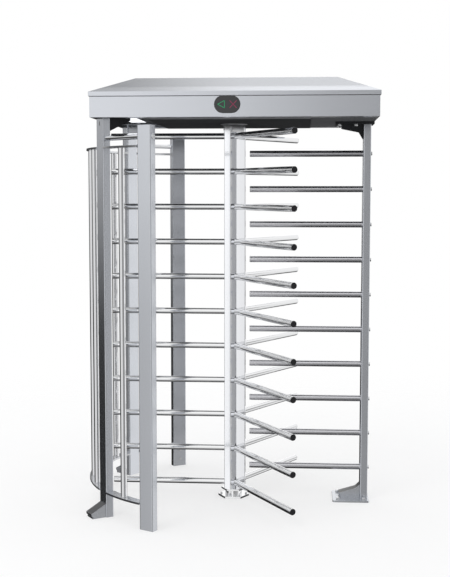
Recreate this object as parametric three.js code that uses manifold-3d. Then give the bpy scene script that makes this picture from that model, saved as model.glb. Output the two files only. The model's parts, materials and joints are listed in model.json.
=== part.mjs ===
// Full height turnstile. A rotor with three wings of level arms turns between a comb of fixed bars on one side
// and a curved guard of upright tubes on the other, under a canopy that holds the indexing and locking drive.
// Millimetres, +Z up, origin on the floor at the rotor's axis. The comb stands on +X and the guard on -X.

import * as THREE from 'three';
import { mergeVertices } from 'three/addons/utils/BufferGeometryUtils.js';
import Module from 'manifold-3d';

const wasm = await Module();
wasm.setup();

const degree = Math.PI / 180;

// Clearances
const seatGap = 0.3; // between two pieces that seat on each other
const runningGap = 0.5; // between a turning piece and the piece that carries it
const overrun = 6; // how far a cut runs past the piece that it cuts

// Facets of round forms
const armFacets = 12;
const tubeFacets = 16;
const hubFacets = 32;
const arcSteps = 2;
const ringSteps = 9;

// Rotor
const wingCount = 3;
const firstWingAngle = 60 * degree;
const armCount = 11;
const armPitch = 183;
const lowestArmHeight = 77;
const wingRadius = 644;
const armDiameter = 32;
const armWall = 2;
const armPlugLength = 8;
const armPlugRim = 0.5;
const armWeldDepth = 2.3;
const columnTubeWidth = 40;
const columnTubeDepth = 50;
const columnTubeWall = 3;
const columnTubeEdge = 4;
const columnTubeGap = 0.45;
const columnFootMargin = 30;
const columnHeadMargin = 46;

// Hubs at the foot and the head of the rotor
const hubFlangeRadius = 66;
const hubFlangeThickness = 9;
const floorPlateRadius = 82;
const floorPlateThickness = 10;
const floorHousingRadius = 44;
const pivotPinRadius = 14;
const pivotPinStop = 5;
const anchorHoleDiameter = 9;
const anchorHoleInset = 16;
const headCollarRadius = 61;
const headPlateThickness = 8;
const collarGap = 3;
const headroom = 16;
const shaftRadius = 20;
const shaftNeckRadius = 26;
const shaftTipRadius = 12;
const shaftTipLength = 10;
const shaftNutRadius = 31;
const shaftNutHeight = 12;
const bearingWall = 19;
const bearingBelow = 6;
const bearingAbove = 8;
const bearingFlangeRadius = 70;
const bearingFlangeThickness = 3;

// Comb
const combTipGap = 18;
const combBarDiameter = 32;
const combBarWall = 2;
const combPlugLength = 6;
const combPostGap = 24;
const combPostDepth = 40;
const combPostWidth = 100;
const combPostWall = 3;
const combPostEdge = 6;

// Guard
const guardGap = 69;
const guardEndAngle = 120 * degree;
const guardInnerPostAngle = 146 * degree;
const guardPostWidth = 80;
const guardPostDepth = 40;
const guardPostWall = 3;
const guardPostEdge = 5;
const guardEndPostDrop = 45;
const postCapThickness = 3;
const ringWidth = 50;
const ringThickness = 10;
const lowerRingHeight = 121;
const upperRingDrop = 92;
const guardTubeDiameter = 32;
const guardTubeWall = 2;
const middleGuardTubes = 5;
const outerGuardTubes = 1;
const tieDiameter = 24;
const tieWall = 2;
const tieDrop = 53;
const tieReachIn = 10;

// Inner feet of the two end posts
const innerFootHeight = 125;
const innerFootWall = 6;
const innerFootClearance = 0.5;

// Foot and head brackets
const gussetHalfWidth = 33;
const gussetSheet = 5;
const armSweepGap = 2; // between the sweep of the arms and the comb's brackets
const combFoot = {
  reach: 111,
  height: 70,
  nose: 22,
  noseEdge: 16,
  plate: 10,
  plateReach: 143,
  plateBack: 47,
  plateHalfWidth: 100,
  plateEdge: 10,
  holeInset: 28,
  holeDiameter: 14,
};
const guardFoot = {
  reach: 78,
  height: 60,
  nose: 18,
  noseEdge: 14,
  plate: 8,
};
const headBracket = {
  reach: 111,
  height: 74,
  nose: 20,
  noseEdge: 14,
  plate: 12,
  plateReach: 140,
  plateBack: 54,
  plateHalfWidth: 100,
  plateEdge: 12,
  holeInset: 25,
  holeDiameter: 13,
};

// Canopy
const trayHalfLength = 397;
const trayInset = 80;
const trayHeight = 92;
const trayDrop = 6;
const guardDeckRise = 24;
const canopySheet = 3;
const canopySideGap = 12.2;
const canopyFrontGap = 43;
const canopyEndGap = 14;
const skirtHeight = 100;
const returnFlangeEnd = 540;
const lidGap = 1;
const lidOverhang = 5;
const lidSheet = 2.5;
const lidLipHeight = 21;
const roofInset = 200;
const roofRise = 81;

// Signal windows
const windowLength = 125;
const windowHeight = 83;
const windowCentreDrop = 41;
const windowProud = 2;
const windowDepth = 16;
const windowFlange = 6;
const windowFlangeThickness = 3;

// Drive in the canopy: a six-stop wheel, a sprung lever that drops into its round notches, and two bolts
const stopCount = 6;
const lockTrackRadius = 80;
const lockTrackThickness = 12;
const lockTrackGap = 4;
const lockSlotWidth = 16;
const lockSlotDepth = 14;
const indexTrackRadius = 90;
const indexTrackThickness = 12;
const indexTrackGap = 8;
const indexNotchRadius = 14;
const indexNotchDepth = 8;
const wheelHubWall = 10;
const leverLength = 110;
const leverOffset = 20;
const leverWidth = 12;
const leverNoseRadius = 9;
const leverBossRadius = 16;
const leverLift = 1.5;
const leverInset = 1;
const leverPinRadius = 8;
const leverPinRise = 5;
const leverSeatRadius = 14;
const boltRest = 2;
const boltLength = 46;
const boltSide = 0.5;
const plungerRadius = 6;
const plungerLength = 50;
const plungerClearance = 0.3;
const solenoidWidth = 44;
const solenoidLength = 62;
const solenoidWall = 11;
const solenoidStandoff = 2;

// Lid lock in the rear cover
const lidLockX = 260;
const lidLockDrop = 36;
const lidLockRadius = 11;
const lidLockRimRadius = 15;
const lidLockRim = 2;
const lidLockDepth = 16;
const tongueLength = 38;
const tongueWidth = 12;
const tongueThickness = 3;
const catchWidth = 18;
const catchFootDepth = 20;
const catchGap = 1.5;

// Heights that follow from the rotor
const topArmHeight = lowestArmHeight + (armCount - 1) * armPitch;
const columnFoot = lowestArmHeight - columnFootMargin;
const columnHead = topArmHeight + columnHeadMargin;
const trayUnderside = columnHead + headroom;
const trayFloor = trayUnderside + canopySheet;
const skirtFoot = trayUnderside + trayDrop;
const guardDeck = skirtFoot + guardDeckRise;
const combPostHead = skirtFoot - headBracket.plate;
const guardPostHead = guardDeck - headBracket.plate;
const guardEndPostHead = skirtFoot - guardEndPostDrop;
const upperRingHeight = guardEndPostHead - upperRingDrop - ringThickness;
const tieHeight = guardEndPostHead - tieDrop;

// Radii and plan places that follow from the rotor
const wingStep = (2 * Math.PI) / wingCount;
const halfStep = wingStep / 2;
const armRadius = armDiameter / 2;
const columnInset = columnTubeWidth / 2 / Math.tan(halfStep) + columnTubeGap;
const columnOuter = columnInset + columnTubeDepth;
const columnSweep = Math.hypot(columnOuter, columnTubeWidth / 2);
const armTouch = (columnTubeWidth / 2 + armRadius * Math.cos(halfStep)) / Math.sin(halfStep);
const armRoot = armTouch - armWeldDepth;
const combTip = columnSweep + combTipGap;
const combPostInner = wingRadius + combPostGap;
const combPostOuter = combPostInner + combPostDepth;
const ringInner = wingRadius + guardGap;
const ringOuter = ringInner + ringWidth;
const guardRadius = ringInner + ringWidth / 2;
const guardPostInner = guardRadius - guardPostDepth / 2;
const guardPostOuter = guardRadius + guardPostDepth / 2;
const sideLean = Math.abs(Math.cos(guardInnerPostAngle));
const frontLean = Math.abs(Math.sin(guardInnerPostAngle));
const guardPostReachX = guardPostOuter * sideLean + (guardPostWidth / 2) * frontLean;
const guardPostReachY = guardPostOuter * frontLean + (guardPostWidth / 2) * sideLean;
const canopyLeft = -(guardPostReachX + canopySideGap);
const canopyRight = combPostOuter + canopyEndGap;
const canopyRear = guardPostReachY + canopyFrontGap;
const canopyFront = -canopyRear;
const trayHalfDepth = canopyRear - trayInset;
const sweepRadius = wingRadius + armSweepGap;
const sweepFoot = lowestArmHeight - armRadius - armSweepGap;
const sweepHead = topArmHeight + armRadius + armSweepGap;

// Roof sheet: its slope, its thickness measured upright, and where the covers' top edges meet its underside
const roofSlope = roofRise / roofInset;
const roofUpright = lidSheet * Math.hypot(1, roofSlope);
const lipFoot = skirtFoot + skirtHeight + lidGap;
const lipHead = lipFoot + lidLipHeight;
const roofTop = lipHead + roofRise;
const coverHead = lipHead + roofSlope * lidOverhang - roofUpright - seatGap;

// Drive heights and places
const lockTrackFoot = trayFloor + bearingAbove + lockTrackGap;
const lockTrackHead = lockTrackFoot + lockTrackThickness;
const indexTrackFoot = lockTrackHead + indexTrackGap;
const indexTrackHead = indexTrackFoot + indexTrackThickness;
const leverNoseX = -(indexTrackRadius + leverNoseRadius + leverLift);
const boltMiddle = lockTrackFoot + lockTrackThickness / 2;
const lidLockHeight = coverHead - lidLockDrop;

// Materials
const metalFinish = (color, roughness) => new THREE.MeshStandardMaterial({ color, roughness, metalness: 1 });
const satinSteel = metalFinish(0xaeb0b6, 0.42);
const chrome = metalFinish(0xd9dadc, 0.12);
const polishedSteel = metalFinish(0xe6e8ea, 0.2);
const combSteel = metalFinish(0x93949a, 0.45);
const canopySteel = metalFinish(0xc6c8ce, 0.38);
const driveSteel = metalFinish(0x6d6f74, 0.5);
const blackPaint = new THREE.MeshStandardMaterial({ color: 0x1c1d1f, roughness: 0.5, metalness: 0 });
const trayPaint = new THREE.MeshStandardMaterial({ color: 0x2b2c2e, roughness: 0.45, metalness: 0.3 });
const windowGloss = new THREE.MeshStandardMaterial({ color: 0x262728, roughness: 0.15, metalness: 0 });

// Joining and cutting of closed solids
function solidOf(geometry) {
  const bare = geometry.clone();
  bare.deleteAttribute('normal');
  bare.deleteAttribute('uv');
  const merged = mergeVertices(bare);
  return new wasm.Manifold(
    new wasm.Mesh({
      numProp: 3,
      vertProperties: new Float32Array(merged.attributes.position.array),
      triVerts: new Uint32Array(merged.index.array),
    }),
  );
}

function geometryOf(solid) {
  const mesh = solid.getMesh();
  const geometry = new THREE.BufferGeometry();
  geometry.setAttribute('position', new THREE.BufferAttribute(new Float32Array(mesh.vertProperties), 3));
  geometry.setIndex(new THREE.BufferAttribute(new Uint32Array(mesh.triVerts), 1));
  geometry.computeVertexNormals();
  return geometry;
}

const join = (...shapes) => geometryOf(shapes.map(solidOf).reduce((sum, next) => sum.add(next)));
const cut = (shape, ...tools) => geometryOf(tools.map(solidOf).reduce((rest, tool) => rest.subtract(tool), solidOf(shape)));
const common = (shape, other) => geometryOf(solidOf(shape).intersect(solidOf(other)));

// Basic forms
function block(x0, x1, y0, y1, z0, z1) {
  const box = new THREE.BoxGeometry(x1 - x0, y1 - y0, z1 - z0);
  return box.translate((x0 + x1) / 2, (y0 + y1) / 2, (z0 + z1) / 2);
}

function prism(shape, length, steps = arcSteps) {
  return new THREE.ExtrudeGeometry(shape, { depth: length, bevelEnabled: false, curveSegments: steps });
}

function rod(radius, z0, z1, facets = tubeFacets) {
  const cylinder = new THREE.CylinderGeometry(radius, radius, z1 - z0, facets);
  return cylinder.rotateX(Math.PI / 2).translate(0, 0, (z0 + z1) / 2);
}

function turned(profile, facets = hubFacets) {
  const points = profile.map(([radius, height]) => new THREE.Vector2(radius, height));
  return new THREE.LatheGeometry(points, facets).rotateX(Math.PI / 2);
}

function roundedRectangle(width, depth, edge, path = new THREE.Shape()) {
  const x = width / 2;
  const y = depth / 2;
  const r = Math.max(edge, 0);
  if (r === 0) {
    return path.moveTo(-x, -y).lineTo(x, -y).lineTo(x, y).lineTo(-x, y).closePath();
  }
  path.moveTo(-x + r, -y).lineTo(x - r, -y).absarc(x - r, -y + r, r, -Math.PI / 2, 0);
  path.lineTo(x, y - r).absarc(x - r, y - r, r, 0, Math.PI / 2);
  path.lineTo(-x + r, y).absarc(-x + r, y - r, r, Math.PI / 2, Math.PI);
  path.lineTo(-x, -y + r).absarc(-x + r, -y + r, r, Math.PI, 1.5 * Math.PI);
  return path.closePath();
}

function stadium(length, height) {
  const r = height / 2;
  const x = length / 2 - r;
  const path = new THREE.Shape();
  path.absarc(x, 0, r, -Math.PI / 2, Math.PI / 2).absarc(-x, 0, r, Math.PI / 2, 1.5 * Math.PI);
  return path.closePath();
}

// A hollow rectangular section, upright, open at both ends
function sectionTube(width, depth, wall, edge, length) {
  const shape = roundedRectangle(width, depth, edge);
  shape.holes.push(roundedRectangle(width - 2 * wall, depth - 2 * wall, edge - wall, new THREE.Path()));
  return prism(shape, length, 1);
}

// The same section closed at the head by a welded cap
function cappedTube(width, depth, wall, edge, length) {
  const skin = prism(roundedRectangle(width, depth, edge), length, 1);
  const bore = prism(roundedRectangle(width - 2 * wall, depth - 2 * wall, edge - wall), length - postCapThickness + overrun, 1);
  return cut(skin, bore.translate(0, 0, -overrun));
}

// A round tube along +Z, open at the foot and closed at the tip by a pressed-in plug
function pluggedTube(radius, wall, length, plugLength, plugRim, facets) {
  const bore = radius - wall;
  const shoulder = length - plugLength;
  return turned(
    [
      [0, shoulder],
      [bore, shoulder],
      [bore, 0],
      [radius, 0],
      [radius, shoulder],
      [radius + plugRim, shoulder],
      [radius + plugRim, length],
      [0, length],
    ],
    facets,
  );
}

// A round tube along +Z, open at both ends
function openTube(radius, wall, length) {
  const bore = radius - wall;
  return turned(
    [
      [bore, length],
      [bore, 0],
      [radius, 0],
      [radius, length],
      [bore, length],
    ],
    tubeFacets,
  );
}

// Rectangles of given half sizes at given heights, joined into one closed form
function rectangularLoft(levels, centreX) {
  const corners = [
    [-1, -1],
    [1, -1],
    [1, 1],
    [-1, 1],
  ];
  const positions = levels.flatMap(({ z, halfX, halfY }) =>
    corners.flatMap(([sx, sy]) => [centreX + sx * halfX, sy * halfY, z]),
  );
  const index = [0, 2, 1, 0, 3, 2];
  const last = (levels.length - 1) * corners.length;
  index.push(last, last + 1, last + 2, last, last + 2, last + 3);
  for (let level = 0; level < levels.length - 1; level += 1) {
    for (let side = 0; side < corners.length; side += 1) {
      const a = level * corners.length + side;
      const b = level * corners.length + ((side + 1) % corners.length);
      index.push(a, b, b + corners.length, a, b + corners.length, a + corners.length);
    }
  }
  const geometry = new THREE.BufferGeometry();
  geometry.setAttribute('position', new THREE.Float32BufferAttribute(positions, 3));
  geometry.setIndex(index);
  return geometry;
}

// Scene graph
const turnstile = new THREE.Group();
const fixedFrame = new THREE.Group();
const canopy = new THREE.Group();
const rotor = new THREE.Group();
turnstile.add(fixedFrame, canopy, rotor);

function piece(parent, name, geometry, material, place = {}) {
  const mesh = new THREE.Mesh(geometry, material);
  mesh.name = name;
  mesh.position.set(place.x ?? 0, place.y ?? 0, place.z ?? 0);
  mesh.rotation.set(0, 0, place.turn ?? 0);
  parent.add(mesh);
  return mesh;
}

const polar = (radius, angle, z = 0, turn = angle) => ({
  x: radius * Math.cos(angle),
  y: radius * Math.sin(angle),
  z,
  turn,
});

// Rotor wings: each is one column tube with its row of arms welded into the notch beside it
const tubeMiddle = columnInset + columnTubeDepth / 2;

function columnTube() {
  const length = columnHead - columnFoot;
  const tube = sectionTube(columnTubeDepth, columnTubeWidth, columnTubeWall, columnTubeEdge, length);
  return tube.translate(tubeMiddle, 0, columnFoot);
}

function columnEnvelope() {
  const reach = columnTubeWidth / 2 + seatGap;
  return block(columnInset - seatGap, columnOuter + seatGap, -reach, reach, -overrun, columnHead + overrun);
}

function wingGeometry() {
  const armLength = wingRadius - armRoot;
  const arm = pluggedTube(armRadius, armWall, armLength, armPlugLength, armPlugRim, armFacets);
  arm.rotateY(Math.PI / 2).translate(armRoot, 0, 0);
  const neighbour = columnEnvelope().rotateZ(halfStep);
  const arms = [];
  for (let row = 0; row < armCount; row += 1) {
    arms.push(cut(arm.clone().translate(0, 0, lowestArmHeight + row * armPitch), neighbour));
  }
  return join(columnTube().rotateZ(-halfStep), ...arms);
}

const wing = wingGeometry();
const wingNames = ['rotor_wing_rear', 'rotor_wing_left', 'rotor_wing_front'];
for (let turn = 0; turn < wingCount; turn += 1) {
  piece(rotor, wingNames[turn] ?? `rotor_wing_${turn}`, wing.clone(), chrome, {
    turn: firstWingAngle + turn * wingStep,
  });
}

// Rotor foot: a six-sided flange under the column, turning on the floor pivot
const footFlangeHead = columnFoot - seatGap;
const footFlangeFoot = footFlangeHead - hubFlangeThickness;
const pivotBore = pivotPinRadius + runningGap;

const hexPlate = (radius, z0, z1) => rod(radius, z0, z1, stopCount).rotateZ(Math.PI / 2);

piece(
  rotor,
  'rotor_foot_flange',
  cut(hexPlate(hubFlangeRadius, footFlangeFoot, footFlangeHead), rod(pivotBore, 0, columnFoot + overrun)),
  polishedSteel,
);

// Floor pivot: an anchored six-sided plate, the housing on it, and the pin that the rotor turns on
function floorPivot() {
  const housingHead = footFlangeFoot - runningGap;
  const pinHead = footFlangeHead - pivotPinStop;
  const core = turned([
    [0, floorPlateThickness - seatGap],
    [floorHousingRadius, floorPlateThickness - seatGap],
    [floorHousingRadius, housingHead],
    [pivotPinRadius, housingHead],
    [pivotPinRadius, pinHead],
    [0, pinHead],
  ]);
  const holes = [];
  for (let corner = 0; corner < stopCount; corner += 1) {
    const hole = rod(anchorHoleDiameter / 2, -overrun, floorPlateThickness + overrun, armFacets);
    hole.translate(floorPlateRadius - anchorHoleInset, 0, 0).rotateZ((corner * 2 * Math.PI) / stopCount);
    holes.push(hole);
  }
  return cut(join(hexPlate(floorPlateRadius, 0, floorPlateThickness), core), ...holes);
}

piece(fixedFrame, 'floor_pivot', floorPivot(), polishedSteel);

// Rotor head: a six-sided plate over the column with an ear hanging into each notch beside the tubes, then the
// neck, the seat of the wheel and the nut over it, in one piece
const headPlateFoot = columnHead + seatGap;
const headPlateHead = headPlateFoot + headPlateThickness;

function headEars() {
  const collar = rod(headCollarRadius, topArmHeight + armRadius + collarGap, headPlateFoot + seatGap, stopCount);
  const tubes = [];
  for (let turn = 0; turn < wingCount; turn += 1) {
    tubes.push(columnEnvelope().rotateZ(turn * wingStep));
  }
  return cut(collar, rod(shaftNeckRadius, 0, headPlateHead, hubFacets), ...tubes);
}

function rotorShaft() {
  const wheelSeat = lockTrackFoot - seatGap;
  const nutFoot = indexTrackHead + seatGap;
  const nutHead = nutFoot + shaftNutHeight;
  const stem = turned([
    [0, headPlateHead - seatGap],
    [shaftNeckRadius, headPlateHead - seatGap],
    [shaftNeckRadius, wheelSeat],
    [shaftRadius, wheelSeat],
    [shaftRadius, nutFoot],
    [shaftNutRadius, nutFoot],
    [shaftNutRadius, nutHead],
    [shaftTipRadius, nutHead],
    [shaftTipRadius, nutHead + shaftTipLength],
    [0, nutHead + shaftTipLength],
  ]);
  return join(rod(headCollarRadius, headPlateFoot, headPlateHead, stopCount), headEars(), stem);
}

piece(rotor, 'rotor_shaft', rotorShaft(), driveSteel);

// Head bearing: a flanged housing hung under the tray, with the shaft's neck running in it
function headBearing() {
  const bore = shaftNeckRadius + runningGap;
  const outer = bore + bearingWall;
  const foot = trayUnderside - bearingBelow;
  const flangeFoot = trayUnderside - bearingFlangeThickness;
  return turned([
    [bore, trayFloor + bearingAbove],
    [bore, foot],
    [outer, foot],
    [outer, flangeFoot],
    [bearingFlangeRadius, flangeFoot],
    [bearingFlangeRadius, trayUnderside],
    [outer, trayUnderside],
    [outer, trayFloor + bearingAbove],
    [bore, trayFloor + bearingAbove],
  ]);
}

piece(canopy, 'head_bearing', headBearing(), driveSteel);

// Drive wheel: a lower track with square slots for the bolts, and an upper one with round notches for the lever
function slottedTrack() {
  const shape = new THREE.Shape();
  const halfMouth = Math.asin(lockSlotWidth / 2 / lockTrackRadius);
  const floor = lockTrackRadius - lockSlotDepth;
  for (let slot = 0; slot < stopCount; slot += 1) {
    const angle = ((slot + 1 / 2) * 2 * Math.PI) / stopCount;
    const next = angle + (2 * Math.PI) / stopCount;
    for (const side of [-lockSlotWidth / 2, lockSlotWidth / 2]) {
      shape.lineTo(
        floor * Math.cos(angle) - side * Math.sin(angle),
        floor * Math.sin(angle) + side * Math.cos(angle),
      );
    }
    shape.absarc(0, 0, lockTrackRadius, angle + halfMouth, next - halfMouth);
  }
  return shape;
}

function notchedTrack() {
  const shape = new THREE.Shape();
  const centre = indexTrackRadius - indexNotchDepth + indexNotchRadius;
  const reach = (indexTrackRadius ** 2 + centre ** 2 - indexNotchRadius ** 2) / (2 * indexTrackRadius * centre);
  const halfMouth = Math.acos(reach);
  const rimX = indexTrackRadius * reach - centre;
  const rimY = indexTrackRadius * Math.sin(halfMouth);
  const opening = Math.atan2(rimY, rimX);
  for (let notch = 0; notch < stopCount; notch += 1) {
    const angle = (notch * 2 * Math.PI) / stopCount;
    const next = angle + (2 * Math.PI) / stopCount;
    const x = centre * Math.cos(angle);
    const y = centre * Math.sin(angle);
    shape.absarc(x, y, indexNotchRadius, angle - opening, angle + opening - 2 * Math.PI, true);
    shape.absarc(0, 0, indexTrackRadius, angle + halfMouth, next - halfMouth);
  }
  return shape;
}

function withoutRepeats(shape, steps) {
  const points = shape.getPoints(steps);
  const kept = points.filter((point, i) => point.distanceTo(points[(i + 1) % points.length]) > seatGap / 2);
  return new THREE.Shape(kept);
}

function driveWheel() {
  const bore = shaftRadius + seatGap;
  const lockTrack = prism(withoutRepeats(slottedTrack(), 2), lockTrackThickness).translate(0, 0, lockTrackFoot);
  const indexTrack = prism(withoutRepeats(notchedTrack(), 3), indexTrackThickness).translate(0, 0, indexTrackFoot);
  const hub = rod(bore + wheelHubWall, lockTrackFoot, indexTrackHead, hubFacets);
  return cut(
    join(lockTrack, indexTrack, hub),
    rod(bore, lockTrackFoot - overrun, indexTrackHead + overrun, hubFacets),
  );
}

piece(rotor, 'drive_wheel', driveWheel(), driveSteel);

// Index lever: a link from an upright pin to a round nose, which is drawn back from the wheel by the lift. The pin
// stands further out than the nose, so the link stays clear of the wheel's rim when the nose is in its notch
function indexLever() {
  const thickness = indexTrackThickness - 2 * leverInset;
  const length = Math.hypot(leverLength, leverOffset);
  const link = block(-leverWidth / 2, leverWidth / 2, 0, length, 0, thickness);
  link.rotateZ(Math.atan2(leverOffset, leverLength));
  const nose = rod(leverNoseRadius, 0, thickness, tubeFacets);
  const boss = rod(leverBossRadius, 0, thickness, tubeFacets).translate(-leverOffset, leverLength, 0);
  const bore = rod(leverPinRadius + seatGap, -overrun, thickness + overrun);
  return cut(join(link, nose, boss), bore.translate(-leverOffset, leverLength, 0));
}

piece(canopy, 'index_lever', indexLever(), driveSteel, { x: leverNoseX, z: indexTrackFoot + leverInset });

// Lock bolts and their solenoids, one on each side of the wheel
function lockBolt() {
  const halfWidth = lockSlotWidth / 2 - boltSide;
  const halfHeight = lockTrackThickness / 2 - boltSide;
  const tip = lockTrackRadius + boltRest;
  const bar = block(-halfWidth, halfWidth, tip, tip + boltLength, boltMiddle - halfHeight, boltMiddle + halfHeight);
  const plunger = rod(plungerRadius, 0, plungerLength + seatGap).rotateX(-Math.PI / 2);
  return join(bar, plunger.translate(0, tip + boltLength - seatGap, boltMiddle));
}

function solenoid() {
  const face = lockTrackRadius + boltRest + boltLength + solenoidStandoff;
  const rise = boltMiddle - trayFloor;
  const halfWidth = solenoidWidth / 2;
  const body = block(-halfWidth, halfWidth, face, face + solenoidLength, trayFloor, boltMiddle + rise);
  const collar = rod(plungerRadius + solenoidWall / 2, 0, solenoidWall).rotateX(-Math.PI / 2);
  collar.translate(0, face + solenoidLength - seatGap, boltMiddle);
  const bore = rod(plungerRadius + plungerClearance, 0, solenoidLength + solenoidWall + 2 * overrun);
  bore.rotateX(-Math.PI / 2).translate(0, face - overrun, boltMiddle);
  return cut(join(body, collar), bore);
}

const driveSides = [
  { side: 'rear', turn: 0 },
  { side: 'front', turn: Math.PI },
];
for (const { side, turn } of driveSides) {
  piece(canopy, `lock_bolt_${side}`, lockBolt(), polishedSteel, { turn });
  piece(canopy, `solenoid_${side}`, solenoid(), blackPaint, { turn });
}

// Comb: a post with level bars that the arms pass between
const combBarLength = combPostInner - combTip - seatGap;
const combBar = pluggedTube(combBarDiameter / 2, combBarWall, combBarLength, combPlugLength, 0, armFacets);
combBar.rotateY(-Math.PI / 2);
for (let row = 0; row < armCount - 1; row += 1) {
  const height = lowestArmHeight + (row + 1 / 2) * armPitch;
  const number = String(row + 1).padStart(2, '0');
  piece(fixedFrame, `comb_bar_${number}`, combBar.clone(), combSteel, { x: combPostInner - seatGap, z: height });
}

piece(
  fixedFrame,
  'comb_post',
  sectionTube(combPostDepth, combPostWidth, combPostWall, combPostEdge, combPostHead - combFoot.plate),
  satinSteel,
  { x: combPostInner + combPostDepth / 2, z: combFoot.plate },
);

// Guard posts: two free-standing ones at the ends of the arc, and two between them that carry the canopy
const guardPosts = [
  { name: 'guard_post_rear_end', angle: guardEndAngle, height: guardEndPostHead, capped: true },
  { name: 'guard_post_rear', angle: guardInnerPostAngle, height: guardPostHead, capped: false },
  { name: 'guard_post_front', angle: 2 * Math.PI - guardInnerPostAngle, height: guardPostHead, capped: false },
  { name: 'guard_post_front_end', angle: 2 * Math.PI - guardEndAngle, height: guardEndPostHead, capped: true },
];
for (const { name, angle, height, capped } of guardPosts) {
  const make = capped ? cappedTube : sectionTube;
  const tube = make(guardPostDepth, guardPostWidth, guardPostWall, guardPostEdge, height);
  piece(fixedFrame, name, tube, satinSteel, polar(guardRadius, angle));
}

// Inner feet of the end posts: a box-section stub that the post slips over, with its floor plate inside
function innerFoot() {
  const depth = guardPostDepth - 2 * (guardPostWall + innerFootClearance);
  const width = guardPostWidth - 2 * (guardPostWall + innerFootClearance);
  const edge = guardPostEdge - guardPostWall;
  const skin = prism(roundedRectangle(depth, width, edge), innerFootHeight, 1);
  const bore = prism(roundedRectangle(depth - 2 * innerFootWall, width - 2 * innerFootWall, 0), innerFootHeight);
  return cut(skin, bore.translate(0, 0, innerFootWall));
}

piece(fixedFrame, 'inner_foot_rear', innerFoot(), driveSteel, polar(guardRadius, guardEndAngle));
piece(fixedFrame, 'inner_foot_front', innerFoot(), driveSteel, polar(guardRadius, -guardEndAngle));

// Guard rings: flat bars bent to the arc, one length between each two posts, at the foot and at the head
function ringSegment(from, to) {
  const clearOf = (radius) => Math.asin((guardPostWidth / 2 + seatGap) / radius);
  const shape = new THREE.Shape();
  shape.absarc(0, 0, ringOuter, from + clearOf(ringOuter), to - clearOf(ringOuter));
  shape.absarc(0, 0, ringInner, to - clearOf(ringInner), from + clearOf(ringInner), true);
  const share = (to - from) / (2 * (Math.PI - guardInnerPostAngle));
  return prism(shape.closePath(), ringThickness, Math.max(2, Math.round(ringSteps * share)));
}

const guardBays = [
  { bay: 'rear', from: guardEndAngle, to: guardInnerPostAngle, tubes: outerGuardTubes },
  { bay: 'middle', from: guardInnerPostAngle, to: 2 * Math.PI - guardInnerPostAngle, tubes: middleGuardTubes },
  { bay: 'front', from: 2 * Math.PI - guardInnerPostAngle, to: 2 * Math.PI - guardEndAngle, tubes: outerGuardTubes },
];
const guardTubeFoot = lowerRingHeight + ringThickness;
let tubeNumber = 0;
for (const { bay, from, to, tubes } of guardBays) {
  piece(fixedFrame, `lower_ring_${bay}`, ringSegment(from, to), satinSteel, { z: lowerRingHeight });
  piece(fixedFrame, `upper_ring_${bay}`, ringSegment(from, to), satinSteel, { z: upperRingHeight });
  for (let i = 0; i < tubes; i += 1) {
    const angle = from + ((to - from) * (i + 1)) / (tubes + 1);
    const tube = openTube(guardTubeDiameter / 2, guardTubeWall, upperRingHeight - guardTubeFoot - 2 * seatGap);
    tubeNumber += 1;
    piece(fixedFrame, `guard_tube_${tubeNumber}`, tube, chrome, polar(guardRadius, angle, guardTubeFoot + seatGap));
  }
}

// Tie tubes: straight from an end post's side face to the next post's, mitred to both
function postEnvelope(angle) {
  const halfDepth = guardPostDepth / 2 + seatGap;
  const halfWidth = guardPostWidth / 2 + seatGap;
  const box = block(-halfDepth, halfDepth, -halfWidth, halfWidth, 0, skirtFoot);
  return box.translate(guardRadius, 0, 0).rotateZ(angle);
}

function tieTube(endAngle, innerAngle) {
  const towards = Math.sign(innerAngle - endAngle);
  const faceCentre = (angle, side) =>
    new THREE.Vector3(guardRadius, (side * guardPostWidth) / 2, tieHeight).applyAxisAngle(
      new THREE.Vector3(0, 0, 1),
      angle,
    );
  const start = faceCentre(endAngle, towards);
  const end = faceCentre(innerAngle, -towards);
  const along = end.clone().sub(start);
  const length = along.length() + 2 * tieReachIn;
  const tube = openTube(tieDiameter / 2, tieWall, length).translate(0, 0, -tieReachIn);
  const turn = new THREE.Quaternion().setFromUnitVectors(new THREE.Vector3(0, 0, 1), along.normalize());
  tube.applyQuaternion(turn).translate(start.x, start.y, start.z);
  return cut(tube, postEnvelope(endAngle), postEnvelope(innerAngle));
}

piece(fixedFrame, 'tie_tube_rear', tieTube(guardEndAngle, guardInnerPostAngle), chrome);
piece(
  fixedFrame,
  'tie_tube_front',
  tieTube(2 * Math.PI - guardEndAngle, 2 * Math.PI - guardInnerPostAngle),
  chrome,
);

// Brackets: a folded gusset with a blunt nose, hollow towards the post, on a plate. The plate lies at z 0, the
// gusset points along +X and the post's face is at x 0. The comb's gussets fall away under the sweep of the arms
function gussetSlopes({ reach, height, nose, plate, sweep }, inset) {
  const corners = [
    [reach, plate + nose],
    [0, plate + height],
  ];
  if (sweep) {
    const straight = plate + height - (sweep.reach * (height - nose)) / reach;
    if (straight > sweep.height) corners.splice(1, 0, [sweep.reach, sweep.height]);
  }
  return corners.slice(1).map(([x, z], i) => {
    const slope = (z - corners[i][1]) / (x - corners[i][0]);
    return { slope, rise: z - slope * x - inset * Math.hypot(1, slope) };
  });
}

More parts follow.
